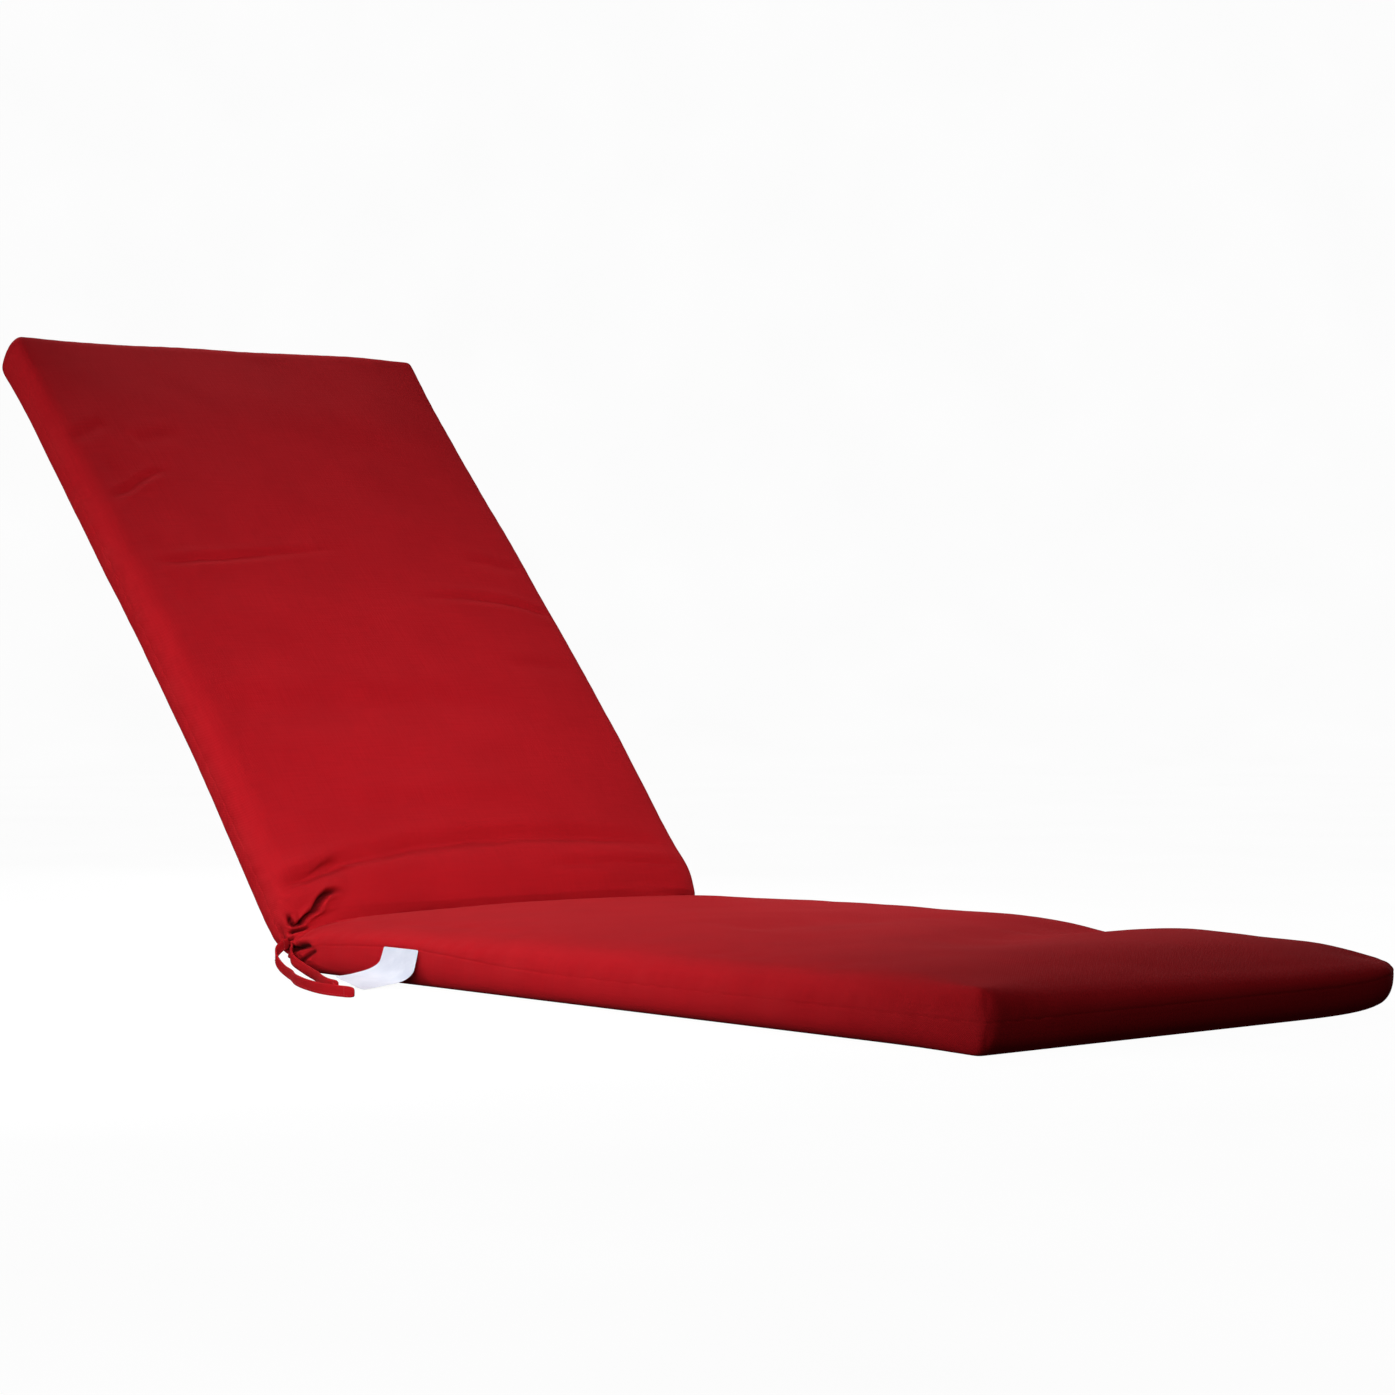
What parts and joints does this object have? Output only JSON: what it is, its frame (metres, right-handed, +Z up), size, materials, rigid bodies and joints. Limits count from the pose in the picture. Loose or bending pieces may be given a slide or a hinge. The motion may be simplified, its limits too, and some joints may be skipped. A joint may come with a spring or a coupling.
{
  "type": "lounge chair cushion",
  "caption": "Long filled cloth cushion for a reclining lounge chair, folded at a gathered hinge into a flat seat and a raised back, with cloth ties and a care label.",
  "frame": {"origin": "middle of the flat underside of the seat, where it rests", "axes": "+X along the seat towards the foot end, +Y across it away from the ties, +Z up out of the seat"},
  "size_m": [1.5655, 0.6687, 0.689],
  "materials": {
    "cover_cloth": "plain woven outdoor canvas, matt, dyed red",
    "tie_cloth": "the cover's cloth, folded and stitched into a flat tape",
    "label_cloth": "white woven tape, blank"
  },
  "bodies": {
    "root": {"cushion": "cover_cloth", "tie_outer": "tie_cloth", "tie_inner": "tie_cloth", "care_label": "label_cloth"}
  },
  "joints": []
}
